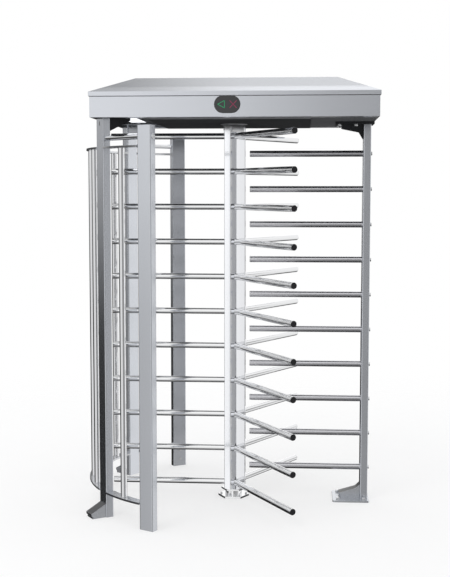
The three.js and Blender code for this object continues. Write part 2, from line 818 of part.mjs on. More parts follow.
function gussetShape(size, inset) {
  const { reach, noseEdge, plate } = size;
  const foot = plate - seatGap;
  const r = Math.max(noseEdge - inset, inset);
  const tip = reach - inset;
  const back = inset > 0 ? -overrun : seatGap;
  const lines = gussetSlopes(size, inset);
  const heightOn = ({ slope, rise }, x) => rise + slope * x;
  const shape = new THREE.Shape();
  shape.moveTo(back, foot + inset).lineTo(tip - r, foot + inset);
  shape.absarc(tip - r, foot + inset + r, r, -Math.PI / 2, 0);
  shape.lineTo(tip, heightOn(lines[0], tip));
  for (let i = 1; i < lines.length; i += 1) {
    const x = (lines[i].rise - lines[i - 1].rise) / (lines[i - 1].slope - lines[i].slope);
    shape.lineTo(x, heightOn(lines[i], x));
  }
  return shape.lineTo(back, heightOn(lines.at(-1), back)).closePath();
}

function gusset(size) {
  const upright = (shape, halfWidth) =>
    prism(shape, 2 * halfWidth).rotateX(Math.PI / 2).translate(0, halfWidth, 0);
  const skin = upright(gussetShape(size, 0), gussetHalfWidth);
  return cut(skin, upright(gussetShape(size, gussetSheet), gussetHalfWidth - gussetSheet));
}

function bracketPlate({ plate, plateReach, plateBack, plateHalfWidth, plateEdge, holeInset, holeDiameter }) {
  const length = plateReach + plateBack;
  const sheet = prism(roundedRectangle(length, 2 * plateHalfWidth, plateEdge), plate);
  const holes = [];
  for (const sx of [-1, 1]) {
    for (const sy of [-1, 1]) {
      const hole = rod(holeDiameter / 2, -overrun, plate + overrun, armFacets);
      holes.push(hole.translate(sx * (length / 2 - holeInset), sy * (plateHalfWidth - holeInset), 0));
    }
  }
  return cut(sheet, ...holes).translate(length / 2 - plateBack, 0, 0);
}

const sweepReach = combPostInner - sweepRadius;
const plainFootPlate = ({ reach, noseEdge, plate }) =>
  block(seatGap, reach - noseEdge / 2, -gussetHalfWidth, gussetHalfWidth, 0, plate);

piece(
  fixedFrame,
  'comb_foot_bracket',
  join(bracketPlate(combFoot), gusset({ ...combFoot, sweep: { reach: sweepReach, height: sweepFoot } })),
  satinSteel,
  { x: combPostInner, turn: Math.PI },
);

const innerPostAngles = [
  { side: 'rear', angle: guardInnerPostAngle },
  { side: 'front', angle: -guardInnerPostAngle },
];
for (const { side, angle } of innerPostAngles) {
  const foot = join(plainFootPlate(guardFoot), gusset(guardFoot));
  piece(fixedFrame, `guard_foot_bracket_${side}`, foot, satinSteel, polar(guardPostOuter, angle));
}

function headBracketGeometry(sweep) {
  return join(bracketPlate(headBracket), gusset({ ...headBracket, sweep })).rotateX(Math.PI);
}

const headSweep = { reach: sweepReach, height: skirtFoot - sweepHead };
piece(fixedFrame, 'comb_head_bracket', headBracketGeometry(headSweep), blackPaint, {
  x: combPostInner,
  z: skirtFoot,
  turn: Math.PI,
});

// The guard's head brackets are trimmed where they would run through the canopy's sides
const canopyInside = () =>
  block(
    canopyLeft + canopySheet + seatGap,
    canopyRight,
    canopyFront + canopySheet + seatGap,
    canopyRear - canopySheet - seatGap,
    0,
    guardDeck + overrun,
  );
for (const { side, angle } of innerPostAngles) {
  const place = polar(guardPostInner, angle);
  const placed = headBracketGeometry().rotateZ(angle + Math.PI).translate(place.x, place.y, guardDeck);
  piece(fixedFrame, `guard_head_bracket_${side}`, common(placed, canopyInside()), blackPaint);
}

// Canopy tray: an open box under the drive, with the lever's pin standing on its floor
function canopyTray() {
  const walls = cut(
    block(-trayHalfLength, trayHalfLength, -trayHalfDepth, trayHalfDepth, trayUnderside, trayUnderside + trayHeight),
    block(
      -trayHalfLength + canopySheet,
      trayHalfLength - canopySheet,
      -trayHalfDepth + canopySheet,
      trayHalfDepth - canopySheet,
      trayFloor,
      trayUnderside + trayHeight + overrun,
    ),
    rod(shaftNeckRadius + runningGap + bearingWall + seatGap, trayUnderside - overrun, trayFloor + overrun, hubFacets),
  );
  const seat = indexTrackFoot + leverInset - seatGap;
  const pinHead = indexTrackHead + leverPinRise;
  const pin = turned(
    [
      [0, trayFloor - canopySheet / 2],
      [leverSeatRadius, trayFloor - canopySheet / 2],
      [leverSeatRadius, seat],
      [leverPinRadius, seat],
      [leverPinRadius, pinHead],
      [0, pinHead],
    ],
    tubeFacets,
  );
  return join(walls, pin.translate(leverNoseX - leverOffset, leverLength, 0));
}

piece(canopy, 'canopy_tray', canopyTray(), trayPaint);

// Covers: folded sheets that make the skirt, with the signal windows let into the front and the rear ones
const skirtMiddle = skirtFoot + skirtHeight - windowCentreDrop;

function longCover() {
  const returnEdge = -trayHalfDepth - seatGap;
  const wall = block(canopyLeft, canopyRight, canopyFront, canopyFront + canopySheet, skirtFoot, coverHead);
  const flange = block(
    -returnFlangeEnd,
    canopyRight - canopySheet - seatGap,
    canopyFront + canopySheet / 2,
    returnEdge,
    skirtFoot,
    skirtFoot + canopySheet,
  );
  const hole = prism(stadium(windowLength + 2 * seatGap, windowHeight + 2 * seatGap), canopySheet + 2 * overrun, 5);
  hole.rotateX(Math.PI / 2).translate(0, canopyFront + canopySheet + overrun, skirtMiddle);
  return cut(join(wall, flange), hole);
}

const mirroredAcrossY = (geometry) => {
  const mirrored = geometry.clone().scale(1, -1, 1);
  const index = mirrored.index.array;
  for (let i = 0; i < index.length; i += 3) {
    [index[i], index[i + 1]] = [index[i + 1], index[i]];
  }
  mirrored.computeVertexNormals();
  return mirrored;
};

const frontCover = longCover();
piece(canopy, 'front_cover', frontCover, canopySteel);

function rearCover() {
  const hole = rod(lidLockRadius + seatGap, -overrun, canopySheet + overrun).rotateX(-Math.PI / 2);
  return cut(mirroredAcrossY(frontCover), hole.translate(lidLockX, canopyRear - canopySheet, lidLockHeight));
}

piece(canopy, 'rear_cover', rearCover(), canopySteel);

function endCover(outerX, innerX, deckFoot, deckHalfDepth) {
  const inward = Math.sign(innerX - outerX);
  const wallInner = outerX + inward * canopySheet;
  const halfDepth = canopyRear - canopySheet - seatGap;
  const wallFoot = Math.min(skirtFoot, deckFoot);
  const order = (a, b) => [Math.min(a, b), Math.max(a, b)];
  const wall = block(...order(outerX, wallInner), -halfDepth, halfDepth, wallFoot, coverHead);
  const deck = block(
    ...order(outerX + (inward * canopySheet) / 2, innerX),
    -deckHalfDepth,
    deckHalfDepth,
    deckFoot,
    deckFoot + canopySheet,
  );
  return join(wall, deck);
}

piece(
  canopy,
  'end_cover_comb_side',
  endCover(canopyRight, trayHalfLength + seatGap, skirtFoot, trayHalfDepth),
  canopySteel,
);
piece(
  canopy,
  'end_cover_guard_side',
  endCover(canopyLeft, -trayHalfLength - seatGap, guardDeck, canopyRear - canopySheet - seatGap),
  canopySteel,
);

// Lid: a low hipped roof with an upright lip, open below, with the catch for its lock hanging inside
const canopyMiddleX = (canopyLeft + canopyRight) / 2;
const lidHalfLength = (canopyRight - canopyLeft) / 2 + lidOverhang;
const lidHalfDepth = canopyRear + lidOverhang;

function lidLevels(shrink, foot, shoulder, inset, top) {
  const level = (z, inwards) => ({ z, halfX: lidHalfLength - inwards, halfY: lidHalfDepth - inwards });
  return [level(foot, shrink), level(shoulder, shrink), level(top, inset)];
}

function lidGeometry() {
  const skin = rectangularLoft(lidLevels(0, lipFoot, lipHead, roofInset, roofTop), canopyMiddleX);
  const shoulder = lipHead + roofSlope * lidSheet - roofUpright;
  const inset = (roofRise - lidSheet + roofUpright) / roofSlope;
  const hollow = rectangularLoft(
    lidLevels(lidSheet, lipFoot - overrun, shoulder, inset, roofTop - lidSheet),
    canopyMiddleX,
  );
  const tonguePlane = canopyRear - lidLockDepth - tongueThickness;
  const footRear = canopyRear - canopySheet - overrun;
  const footFront = footRear - catchFootDepth;
  const stripX1 = lidLockX - tongueLength + catchWidth;
  const footHead = lidLockHeight - tongueWidth / 2 - catchGap;
  const footFoot = footHead - canopySheet;
  const stripHead = lipHead + roofSlope * (lidHalfDepth - footFront - canopySheet) - roofUpright / 2;
  const foot = block(stripX1 - catchWidth, stripX1, footFront, Math.max(footRear, tonguePlane), footFoot, footHead);
  const strip = block(stripX1 - catchWidth, stripX1, footFront, footFront + canopySheet, footFoot, stripHead);
  return join(cut(skin, hollow), foot, strip);
}

piece(canopy, 'lid', lidGeometry(), canopySteel);

// Lid lock: a round barrel through the rear cover, its tongue lying over the lid's catch
function lidLock() {
  const barrel = turned(
    [
      [0, 0],
      [lidLockRadius, 0],
      [lidLockRadius, lidLockDepth],
      [lidLockRimRadius, lidLockDepth],
      [lidLockRimRadius, lidLockDepth + lidLockRim],
      [0, lidLockDepth + lidLockRim],
    ],
    tubeFacets,
  );
  barrel.translate(0, 0, seatGap).rotateX(-Math.PI / 2);
  const tongue = block(
    -tongueLength,
    lidLockRadius / 2,
    -tongueThickness,
    2 * seatGap,
    -tongueWidth / 2,
    tongueWidth / 2,
  );
  return join(barrel, tongue);
}

piece(canopy, 'lid_lock', lidLock(), polishedSteel, {
  x: lidLockX,
  y: canopyRear - lidLockDepth,
  z: lidLockHeight,
});

// Signal windows: a dark glossy pane standing proud of the skirt, held by a flange behind it
function signalWindow() {
  const pane = prism(stadium(windowLength, windowHeight), windowProud + windowDepth, 5);
  const flange = prism(
    stadium(windowLength + 2 * windowFlange, windowHeight + 2 * windowFlange),
    windowFlangeThickness,
    5,
  );
  flange.translate(0, 0, windowDepth - canopySheet - seatGap - windowFlangeThickness);
  return join(pane, flange).rotateX(Math.PI / 2);
}

piece(canopy, 'signal_window_front', signalWindow(), windowGloss, { y: canopyFront + windowDepth, z: skirtMiddle });
piece(canopy, 'signal_window_rear', signalWindow(), windowGloss, {
  y: canopyRear - windowDepth,
  z: skirtMiddle,
  turn: Math.PI,
});

export default turnstile;
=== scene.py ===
import json
import math

import bmesh
import bpy
from mathutils import Matrix, Vector

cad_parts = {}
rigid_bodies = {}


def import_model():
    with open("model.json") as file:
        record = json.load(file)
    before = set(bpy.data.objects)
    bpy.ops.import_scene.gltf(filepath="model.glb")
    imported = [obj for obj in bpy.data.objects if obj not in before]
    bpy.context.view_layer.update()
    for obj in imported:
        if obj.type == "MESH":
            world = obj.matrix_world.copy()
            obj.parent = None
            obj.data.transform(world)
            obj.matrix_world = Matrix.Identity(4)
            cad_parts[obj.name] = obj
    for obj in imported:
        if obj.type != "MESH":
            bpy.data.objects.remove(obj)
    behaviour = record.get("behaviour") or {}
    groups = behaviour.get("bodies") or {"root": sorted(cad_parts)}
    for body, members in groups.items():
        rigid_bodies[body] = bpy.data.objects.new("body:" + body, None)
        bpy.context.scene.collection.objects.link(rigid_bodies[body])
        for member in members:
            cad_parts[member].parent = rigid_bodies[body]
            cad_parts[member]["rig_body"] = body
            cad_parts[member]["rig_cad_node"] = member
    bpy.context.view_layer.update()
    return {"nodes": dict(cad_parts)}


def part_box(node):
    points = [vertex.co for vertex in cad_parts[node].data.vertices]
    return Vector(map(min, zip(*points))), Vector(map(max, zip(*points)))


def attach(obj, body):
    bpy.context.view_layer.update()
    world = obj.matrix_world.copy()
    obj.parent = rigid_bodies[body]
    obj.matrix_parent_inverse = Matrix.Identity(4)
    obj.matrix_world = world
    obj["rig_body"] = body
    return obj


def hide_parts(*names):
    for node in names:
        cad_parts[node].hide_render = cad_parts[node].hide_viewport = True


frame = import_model()

# Sizes in metres, as the solids have them
WING_RADIUS = 0.644
ARM_RADIUS = 0.016
ARM_PITCH = 0.183
ARM_COUNT = 11
LOWEST_ARM = 0.077
ARM_ROOT = 0.0305
COLUMN_DEPTH = 0.050
COLUMN_WIDTH = 0.040
COLUMN_PLACE = 0.037
COLUMN_EDGE = 0.004
COMB_BAR_COUNT = 10
COMB_TIP = 0.0831
COMB_POST_WIDTH = 0.040
COMB_POST_DEPTH = 0.100
COMB_POST_EDGE = 0.006
COMB_POST_INNER = 0.668
COMB_POST_OUTER = COMB_POST_INNER + COMB_POST_WIDTH
GUARD_RADIUS = 0.738
GUARD_POST_DEPTH = 0.040
GUARD_POST_WIDTH = 0.080
GUARD_POST_EDGE = 0.0056
GUARD_TUBE_COUNT = 7
TIE_RADIUS = 0.012
COVER_DEPTH = 1.0
DECK_FOOT = 1.999
LIP_FOOT = 2.076
PLATE_TOP = 0.010

# Where the posts stand round the rotor, in degrees
POST_ANGLES = {"rear": 146, "front": 214}
END_POST_ANGLES = {"rear": 120, "front": 240}

# Details that the solids leave out
PLUG_FLANGE = 0.0013
PLUG_STEP = 0.0003
ARM_WALL = 0.0018
TUBE_WALL = 0.002
ARM_BORE = 0.03
TUBE_BORE = 0.02
COLUMN_WALL = 0.003
COLUMN_BORE = 0.12
BAR_END_LENGTH = 0.006
BAR_END_OVERLAP = 0.0002
BAR_END_SETBACK = 0.0003
BAR_END_STEP = 0.0002
SAWN_EDGE = 0.0003
PLUG_EDGE = 0.0009
BAR_END_EDGE = 0.0014
SOLENOID_EDGE = 0.001
LID_EDGE = 0.0014
PLATE_EDGE = 0.0012
SHEET_EDGE = 0.0008
MACHINED_EDGE = 0.0006
FINE_EDGE = 0.0005
TUBE_FACETS = 40
SMALL_FACETS = 32

# A unit vector runs along a direction, or a face looks along it, when it goes at least this far along it
PARALLEL = 0.99
FACING = 0.5


# Modelling helpers: each works on what is selected, as by hand
def deselect():
    if bpy.context.object and bpy.context.object.mode != "OBJECT":
        bpy.ops.object.mode_set(mode="OBJECT")
    bpy.ops.object.select_all(action="DESELECT")


def choose(piece):
    deselect()
    piece.hide_set(False)
    piece.select_set(True)
    bpy.context.view_layer.objects.active = piece


def settle():
    bpy.ops.object.transform_apply(location=True, rotation=True, scale=True)


def rename(piece, name):
    piece.name = name
    piece.data.name = name
    return piece


def named(name):
    piece = rename(bpy.context.object, name)
    settle()
    return piece


def discard(*patterns):
    for pattern in patterns:
        bpy.data.objects.remove(pattern)


def edit(piece, kind="FACE"):
    choose(piece)
    bpy.ops.object.mode_set(mode="EDIT")
    bpy.ops.mesh.select_mode(type=kind)
    bpy.ops.mesh.select_all(action="DESELECT")


def done():
    bpy.ops.object.mode_set(mode="OBJECT")


def pick_faces(test):
    mesh = bmesh.from_edit_mesh(bpy.context.edit_object.data)
    for face in mesh.faces:
        face.select_set(test(face.calc_center_median(), face.normal))
    bmesh.update_edit_mesh(bpy.context.edit_object.data)


def pick_edges(test):
    mesh = bmesh.from_edit_mesh(bpy.context.edit_object.data)
    for edge in mesh.edges:
        edge.select_set(test((edge.verts[1].co - edge.verts[0].co).normalized()))
    bmesh.update_edit_mesh(bpy.context.edit_object.data)


def push(vector):
    bpy.ops.mesh.extrude_region_move(TRANSFORM_OT_translate={"value": tuple(vector)})


def stretch(piece, length):
    """Draws a disc out to a stadium: moves what lies on one side of X = 0 outward, by a signed length."""
    side = math.copysign(1, length)
    edit(piece, "VERT")
    mesh = bmesh.from_edit_mesh(piece.data)
    for vertex in mesh.verts:
        vertex.select_set(side * vertex.co.x > 1e-5)
    mesh.select_flush_mode()
    bmesh.update_edit_mesh(piece.data)
    bpy.ops.transform.translate(value=(length, 0, 0))
    done()


def round_edges(piece, width, segments=2, angle=35):
    choose(piece)
    rounding = piece.modifiers.new("rounding", "BEVEL")
    rounding.width = width
    rounding.segments = segments
    rounding.limit_method = "ANGLE"
    rounding.angle_limit = math.radians(angle)
    rounding.use_clamp_overlap = True
    rounding.harden_normals = False
    bpy.ops.object.modifier_apply(modifier=rounding.name)


def smooth(piece, angle=32):
    """Smooth shading that leaves the broad flat faces flat and turns only over the rounded edges."""
    choose(piece)
    bpy.ops.object.shade_smooth_by_angle(angle=math.radians(angle))
    levelling = piece.modifiers.new("levelling", "WEIGHTED_NORMAL")
    levelling.keep_sharp = True
    levelling.weight = 90
    bpy.ops.object.modifier_apply(modifier=levelling.name)


def cube(name, centre, size):
    deselect()
    bpy.ops.mesh.primitive_cube_add(size=1, location=centre, scale=size)
    return named(name)


def rod(name, radius, start, end, facets=TUBE_FACETS):
    start, end = Vector(start), Vector(end)
    along = end - start
    deselect()
    bpy.ops.mesh.primitive_cylinder_add(
        vertices=facets,
        radius=radius,
        depth=along.length,
        location=(start + end) / 2,
        rotation=along.to_track_quat("Z", "Y").to_euler(),
    )
    return named(name)


def hollow_end(piece, outward, wall, depth):
    """Sinks a bore into the flat end that faces outward."""
    edit(piece)
    direction = Vector(outward).normalized()
    reach = max(vertex.co.dot(direction) for vertex in piece.data.vertices)
    pick_faces(lambda centre, normal: normal.dot(direction) > PARALLEL and centre.dot(direction) > reach - 1e-4)
    bpy.ops.mesh.inset(thickness=wall)
    push(-direction * depth)
    done()


def section(name, size, centre, edge):
    """An upright rectangular tube with rounded long edges."""
    piece = cube(name, centre, size)
    edit(piece, "EDGE")
    pick_edges(lambda along: abs(along.z) > PARALLEL)
    bpy.ops.mesh.bevel(offset=edge, segments=5, affect="EDGES")
    done()
    return piece


def copy_of(piece, name, matrix):
    choose(piece)
    bpy.ops.object.duplicate(linked=False)
    twin = rename(bpy.context.object, name)
    twin.matrix_world = matrix
    settle()
    return twin


def join(name, pieces):
    deselect()
    for piece in pieces:
        piece.select_set(True)
    bpy.context.view_layer.objects.active = pieces[0]
    bpy.ops.object.join()
    return rename(bpy.context.object, name)


def turn(angle, axis="Z"):
    return Matrix.Rotation(math.radians(angle), 4, axis)


def shift(x, y, z):
    return Matrix.Translation((x, y, z))


def finish(piece, body, material, replaced=()):
    piece.data.materials.clear()
    piece.data.materials.append(material)
    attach(piece, body)
    if replaced:
        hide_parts(*replaced)
    return piece


# Shader helpers
def shader_of(name):
    material = bpy.data.materials.new(name)
    material.use_nodes = True
    return material, material.node_tree.nodes, material.node_tree.links


def calculate(nodes, links, operation, *values):
    node = nodes.new("ShaderNodeMath")
    node.operation = operation
    for socket, value in zip(node.inputs, values):
        if isinstance(value, float):
            socket.default_value = value
        else:
            links.new(value, socket)
    return node.outputs[0]


def mix_shaders(nodes, links, factor, first, second):
    node = nodes.new("ShaderNodeMixShader")
    for socket, value in zip(node.inputs, (factor, first, second)):
        links.new(value, socket)
    return node.outputs[0]


def noise(nodes, links, source, stretched, detail=3.0, roughness=0.55):
    mapping = nodes.new("ShaderNodeMapping")
    mapping.inputs["Scale"].default_value = stretched
    links.new(source, mapping.inputs["Vector"])
    texture = nodes.new("ShaderNodeTexNoise")
    texture.inputs["Scale"].default_value = 1.0
    texture.inputs["Detail"].default_value = detail
    texture.inputs["Roughness"].default_value = roughness
    links.new(mapping.outputs["Vector"], texture.inputs["Vector"])
    return texture.outputs["Fac"]


def ramp(nodes, links, source, stops):
    node = nodes.new("ShaderNodeValToRGB")
    elements = node.color_ramp.elements
    while len(elements) < len(stops):
        elements.new(0.5)
    for element, (place, color) in zip(elements, stops):
        element.position = place
        element.color = (*color, 1)
    links.new(source, node.inputs["Fac"])
    return node.outputs["Color"]


def spread(nodes, links, source, low, high, new_low=0.0, new_high=1.0):
    node = nodes.new("ShaderNodeMapRange")
    node.inputs["From Min"].default_value = low
    node.inputs["From Max"].default_value = high
    node.inputs["To Min"].default_value = new_low
    node.inputs["To Max"].default_value = new_high
    links.new(source, node.inputs["Value"])
    return node.outputs["Result"]


def raise_from(nodes, links, height, strength, distance):
    node = nodes.new("ShaderNodeBump")
    node.inputs["Strength"].default_value = strength
    node.inputs["Distance"].default_value = distance
    links.new(height, node.inputs["Height"])
    return node.outputs["Normal"]


def scaled(color, factor):
    return tuple(min(1.0, channel * factor) for channel in color)


def even(level):
    return (level, level, level)


# Materials
def metal(name, color, roughness, grain, variation=0.03, bump=0.012):
    """Bare or plated steel: fine grain along one direction, broad clouding, and slight wear of its sheen."""
    material, nodes, links = shader_of(name)
    shader = nodes["Principled BSDF"]
    shader.inputs["Metallic"].default_value = 1.0
    coordinates = nodes.new("ShaderNodeTexCoord").outputs["Object"]
    streaks = noise(nodes, links, coordinates, grain, 4.0)
    clouds = noise(nodes, links, coordinates, (3.1, 3.1, 2.3), 2.0)
    blend = calculate(nodes, links, "MULTIPLY_ADD", streaks, 0.55, clouds)
    tone = ramp(
        nodes,
        links,
        spread(nodes, links, blend, 0.4, 1.15),
        [(0.0, scaled(color, 1 - variation)), (0.5, color), (1.0, scaled(color, 1 + variation))],
    )
    sheen = spread(nodes, links, streaks, 0.25, 0.75, roughness * 0.93, roughness * 1.07)
    links.new(tone, shader.inputs["Base Color"])
    links.new(sheen, shader.inputs["Roughness"])
    links.new(raise_from(nodes, links, streaks, bump, 0.0004), shader.inputs["Normal"])
    return material


def paint(name, color, roughness, bump=0.08, coat=0.0, gloss=0.5):
    """Powder coat or moulded plastic: a fine orange peel, with a little clouding of the colour."""
    material, nodes, links = shader_of(name)
    shader = nodes["Principled BSDF"]
    shader.inputs["Coat Weight"].default_value = coat
    shader.inputs["Coat Roughness"].default_value = 0.08
    shader.inputs["Specular IOR Level"].default_value = gloss
    coordinates = nodes.new("ShaderNodeTexCoord").outputs["Object"]
    peel = noise(nodes, links, coordinates, even(900), 2.0)
    clouds = noise(nodes, links, coordinates, even(9), 3.0)
    tone = ramp(nodes, links, clouds, [(0.3, scaled(color, 0.88)), (0.7, scaled(color, 1.14))])
    sheen = spread(nodes, links, clouds, 0.3, 0.7, roughness * 0.9, roughness * 1.12)
    links.new(tone, shader.inputs["Base Color"])
    links.new(sheen, shader.inputs["Roughness"])
    links.new(raise_from(nodes, links, peel, bump, 0.0002), shader.inputs["Normal"])
    return material


def lamp(name, color, strength):
    """A lit lens, which is a little uneven in its glow."""
    material, nodes, links = shader_of(name)
    shader = nodes["Principled BSDF"]
    coordinates = nodes.new("ShaderNodeTexCoord").outputs["Object"]
    dots = noise(nodes, links, coordinates, even(260), 1.0)
    tone = ramp(nodes, links, dots, [(0.3, scaled(color, 0.7)), (0.7, color)])
    links.new(tone, shader.inputs["Base Color"])
    links.new(tone, shader.inputs["Emission Color"])
    shader.inputs["Emission Strength"].default_value = strength
    shader.inputs["Roughness"].default_value = 0.3
    return material


UPRIGHT_GRAIN = (700, 700, 9)
SHEET_GRAIN = (7, 260, 420)
BAR_GRAIN = (9, 600, 600)
PLATE_GRAIN = even(420)
satin_post = metal("satin_post_steel", (0.63, 0.65, 0.69), 0.22, UPRIGHT_GRAIN)
satin_plate = metal("satin_plate_steel", (0.61, 0.63, 0.665), 0.26, PLATE_GRAIN)
# Painted dark reflection: darker steels for the feet's sloped faces, which stand for the dark surround they mirror
comb_slope_shade = metal("comb_foot_slope_painted_shade", (0.165, 0.167, 0.172), 0.3, PLATE_GRAIN)
guard_slope_shade = metal("guard_foot_slope_painted_shade", (0.085, 0.086, 0.09), 0.3, PLATE_GRAIN)
ring_steel = metal("ring_steel", (0.66, 0.67, 0.69), 0.18, PLATE_GRAIN)
comb_steel = metal("comb_bar_steel", (0.67, 0.67, 0.70), 0.19, BAR_GRAIN, 0.02, 0.004)
comb_end = metal("comb_end_steel", (0.80, 0.80, 0.82), 0.24, even(500))
canopy_steel = metal("canopy_sheet_steel", (0.72, 0.742, 0.79), 0.25, SHEET_GRAIN, 0.02, 0.006)
arm_chrome = metal("arm_chrome", (0.885, 0.89, 0.90), 0.06, even(60), 0.015, 0.002)
column_chrome = metal("column_polished_steel", (0.91, 0.92, 0.945), 0.1, UPRIGHT_GRAIN, 0.015, 0.004)
guard_chrome = metal("guard_tube_chrome", (0.84, 0.845, 0.86), 0.07, UPRIGHT_GRAIN, 0.015, 0.003)
hub_steel = metal("hub_polished_steel", (0.88, 0.885, 0.895), 0.1, even(300), 0.02, 0.004)
drive_steel = metal("drive_machined_steel", (0.42, 0.425, 0.44), 0.38, even(500), 0.06, 0.03)
bolt_zinc = metal("bolt_zinc", (0.74, 0.745, 0.755), 0.26, even(800), 0.05)
black_coat = paint("bracket_black_coat", (0.016, 0.017, 0.019), 0.7, gloss=0.2)
tray_coat = paint("tray_dark_coat", (0.022, 0.023, 0.025), 0.85, 0.05, gloss=0.1)
# Painted shade: a dark grey for the canopy covers' faces that look down or inward
deck_painted_shade = paint("deck_painted_shade_grey", (0.07, 0.072, 0.076), 0.8, 0.05, gloss=0.1)
# Painted light: a lighter grey for the tray's outer walls
tray_wall_painted_light = paint("tray_wall_painted_light_grey", (0.17, 0.172, 0.178), 0.7, 0.05, gloss=0.2)
# Painted shade: near black for edges and rims that mirror dark surroundings
edge_painted_shade = paint("edge_painted_shade_black", (0.03, 0.031, 0.034), 0.5, 0.03, gloss=0.4)
# Painted shadow: dark grey for the strip under the lid's lip
lid_shadow_paint = paint("lid_painted_shadow_line", (0.10, 0.101, 0.105), 0.75, 0.1, gloss=0.2)
plug_rubber = paint("arm_plug_plastic", (0.010, 0.010, 0.012), 0.6, 0.1, gloss=0.25)
window_pane = paint("signal_window_pane", (0.022, 0.022, 0.024), 0.22, 0.01, coat=0.3)
go_light = lamp("signal_green_line", (0.012, 0.26, 0.10), 0.30)
stop_light = lamp("signal_red_line", (0.26, 0.018, 0.07), 0.20)
passage_light = lamp("passage_lamp_lens", (0.96, 0.97, 1.0), 1.0)


# Rotor: three wings, each a polished column tube with its row of chromed arms and their black end plugs
def row_of(name, first):
    rows = [first]
    for row in range(1, ARM_COUNT):
        rows.append(copy_of(first, f"{name}_{row}", shift(0, 0, row * ARM_PITCH)))
    joined = join(name, rows)
    smooth(joined)
    return joined


column_low, column_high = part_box("rotor_wing_left")
COLUMN_FOOT = column_low.z
COLUMN_HEAD = column_high.z
arm = rod("arms_first", ARM_RADIUS, (ARM_ROOT, 0, LOWEST_ARM), (WING_RADIUS - PLUG_FLANGE, 0, LOWEST_ARM))
hollow_end(arm, (1, 0, 0), ARM_WALL, ARM_BORE)
round_edges(arm, SAWN_EDGE, segments=3, angle=60)
plug = rod(
    "plugs_first",
    ARM_RADIUS - PLUG_STEP,
    (WING_RADIUS - PLUG_FLANGE, 0, LOWEST_ARM),
    (WING_RADIUS, 0, LOWEST_ARM),
)
round_edges(plug, PLUG_EDGE, segments=3, angle=60)
chrome_arms = row_of("arms_first", arm)
arm_plugs = row_of("plugs_first", plug)
column = section(
    "column_first",
    (COLUMN_DEPTH, COLUMN_WIDTH, COLUMN_HEAD - COLUMN_FOOT),
    (COLUMN_PLACE, 0, (COLUMN_HEAD + COLUMN_FOOT) / 2),
    COLUMN_EDGE,
)
for outward in ((0, 0, 1), (0, 0, -1)):
    hollow_end(column, outward, COLUMN_WALL, COLUMN_BORE)
smooth(column)
for side, angle in (("rear", 60), ("left", 180), ("front", 300)):
    arms = copy_of(chrome_arms, f"wing_arms_{side}", turn(angle))
    plugs = copy_of(arm_plugs, f"wing_plugs_{side}", turn(angle))
    tube = copy_of(column, f"wing_column_{side}", turn(angle - 60))
    finish(arms, "rotor", arm_chrome)
    finish(plugs, "rotor", plug_rubber)
    finish(tube, "rotor", column_chrome, (f"rotor_wing_{side}",))
discard(chrome_arms, arm_plugs, column)


# Comb: bars with turned steel ends, and hexagon bolt heads on the post's outer face
def hex_bolt(name, across, height, washer):
    head = rod(f"{name}_head", across / math.sqrt(3), (0, 0, washer), (0, 0, washer + height), 6)
    round_edges(head, height * 0.12, segments=2, angle=40)
    ring = rod(f"{name}_washer", across * 0.62, (0, 0, 0), (0, 0, washer), SMALL_FACETS)
    round_edges(ring, washer * 0.3, segments=2, angle=40)
    bolt = join(name, [head, ring])
    smooth(bolt)
    return bolt


bar = rod("bar_first", ARM_RADIUS, (COMB_TIP + BAR_END_LENGTH, 0, 0), (COMB_POST_INNER, 0, 0))
hollow_end(bar, (1, 0, 0), TUBE_WALL, ARM_BORE)
bar_end = rod(
    "bar_end_first",
    ARM_RADIUS - BAR_END_STEP,
    (COMB_TIP + BAR_END_SETBACK, 0, 0),
    (COMB_TIP + BAR_END_LENGTH + BAR_END_OVERLAP, 0, 0),
)
round_edges(bar_end, BAR_END_EDGE, segments=3, angle=60)
smooth(bar)
smooth(bar_end)
bar_bolt = hex_bolt("bar_bolt_first", across=0.019, height=0.0065, washer=0.0015)
facing_out = turn(90, "Y")
bar_heights = [LOWEST_ARM + (row + 0.5) * ARM_PITCH for row in range(COMB_BAR_COUNT)]
for number, height in enumerate(bar_heights, 1):
    raised = shift(0, 0, height)
    tube = copy_of(bar, f"comb_tube_{number:02d}", raised)
    finish(tube, "frame", comb_steel, (f"comb_bar_{number:02d}",))
    finish(copy_of(bar_end, f"comb_tube_end_{number:02d}", raised), "frame", comb_end)
bolts = [
    copy_of(bar_bolt, f"comb_bolt_{row}", shift(COMB_POST_OUTER, 0, height) @ facing_out)
    for row, height in enumerate(bar_heights)
]
finish(join("comb_post_bolts", bolts), "frame", bolt_zinc)
discard(bar, bar_end, bar_bolt)

# Posts: rounded rectangular tubes; the end ones, whose heads are in view, have their cut edges eased too
post_low, post_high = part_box("comb_post")
comb_post = section(
    "comb_post_tube",
    (COMB_POST_WIDTH, COMB_POST_DEPTH, post_high.z - post_low.z),
    (COMB_POST_INNER + COMB_POST_WIDTH / 2, 0, (post_high.z + post_low.z) / 2),
    COMB_POST_EDGE,
)
smooth(comb_post)
finish(comb_post, "frame", satin_post, ("comb_post",))
for node, angle, end_eased in (
    ("guard_post_rear_end", END_POST_ANGLES["rear"], True),
    ("guard_post_rear", POST_ANGLES["rear"], False),
    ("guard_post_front", POST_ANGLES["front"], False),
    ("guard_post_front_end", END_POST_ANGLES["front"], True),
):
    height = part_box(node)[1].z
    post = section(
        node + "_first",
        (GUARD_POST_DEPTH, GUARD_POST_WIDTH, height),
        (GUARD_RADIUS, 0, height / 2),
        GUARD_POST_EDGE,
    )
    if end_eased:
        round_edges(post, PLATE_EDGE, segments=2, angle=60)
    smooth(post)
    finish(copy_of(post, node + "_tube", turn(angle)), "frame", satin_post, (node,))
    discard(post)


